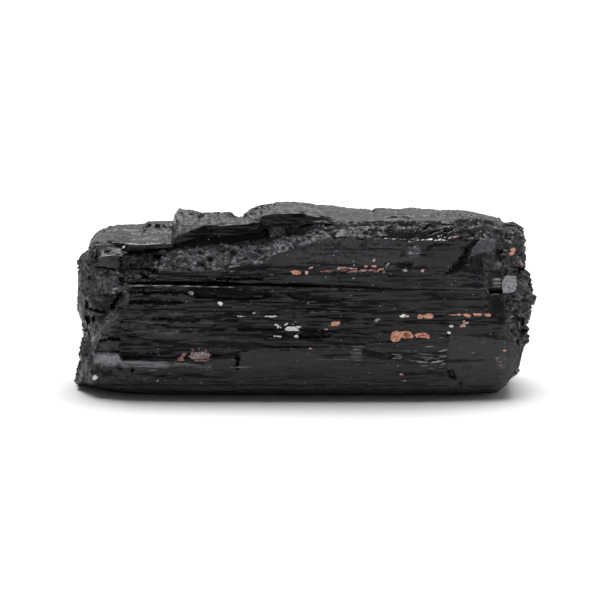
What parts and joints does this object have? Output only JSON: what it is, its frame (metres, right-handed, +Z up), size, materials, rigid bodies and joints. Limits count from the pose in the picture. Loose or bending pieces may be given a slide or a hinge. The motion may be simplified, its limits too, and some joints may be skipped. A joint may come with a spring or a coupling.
{
  "type": "tourmaline crystal",
  "caption": "Rough black tourmaline crystal lying on a flat side: a blocky prism with long fine grooves, a stepped broken top, jagged ends and small orange and white mineral specks.",
  "frame": {"origin": "centre of the stone's footprint box, on the surface that it rests on", "axes": "+X along the crystal's length towards its squarer broken end, -Y towards the grown front face with the long grooves, +Z up out of the face that it rests on"},
  "size_m": [0.0823, 0.0323, 0.0334],
  "materials": {
    "black_schorl": "natural crystal and fracture faces, glassy to resinous, unpolished"
  },
  "bodies": {
    "root": {"tourmaline_crystal": "black_schorl"}
  },
  "joints": []
}
